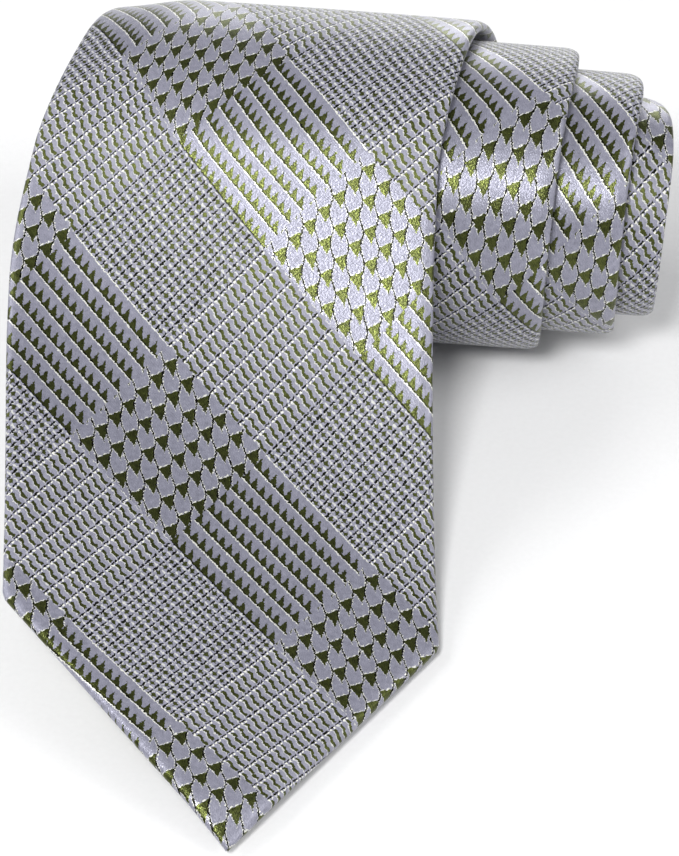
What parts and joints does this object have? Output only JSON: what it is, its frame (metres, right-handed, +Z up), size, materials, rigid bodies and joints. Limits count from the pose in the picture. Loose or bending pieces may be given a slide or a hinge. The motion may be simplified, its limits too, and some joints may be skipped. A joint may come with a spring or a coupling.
{
  "type": "necktie",
  "caption": "Necktie with folded cloth envelope and interlining, rolled up with the end of its wide blade drawn out over the roll and laid in front.",
  "frame": {"origin": "on the table, under the middle of the tie's bounding box", "axes": "+X along the axis of the roll, to the right as the face of the blade is seen; -Y towards the tip of the wide blade; +Z up from the table"},
  "size_m": [0.1444, 0.1944, 0.0673],
  "materials": {
    "face_cloth": "woven silk check, lilac grey and dark olive, soft sheen",
    "interlining": "brushed wool blend, undyed",
    "tipping_cloth": "plain satin lining, dark olive",
    "thread": "twisted sewing silk"
  },
  "bodies": {
    "roll": {"wound_blade_cloth": "face_cloth", "neck_cloth": "face_cloth", "tail_cloth": "face_cloth", "keeper_loop": "face_cloth", "roll_interlining": "interlining", "tail_tipping": "tipping_cloth", "roll_slip_stitch": "thread", "tail_bar_tack": "thread"},
    "blade": {"blade_cloth": "face_cloth", "blade_interlining": "interlining", "blade_tipping": "tipping_cloth", "blade_slip_stitch": "thread", "blade_bar_tack": "thread"}
  },
  "joints": [
    {"name": "blade_lift", "type": "hinge", "parent": "roll", "child": "blade", "pos_m": [-0.0275, 0.0631, 0.0673], "axis": [-1, 0, 0], "range_deg": [0, 100]}
  ]
}
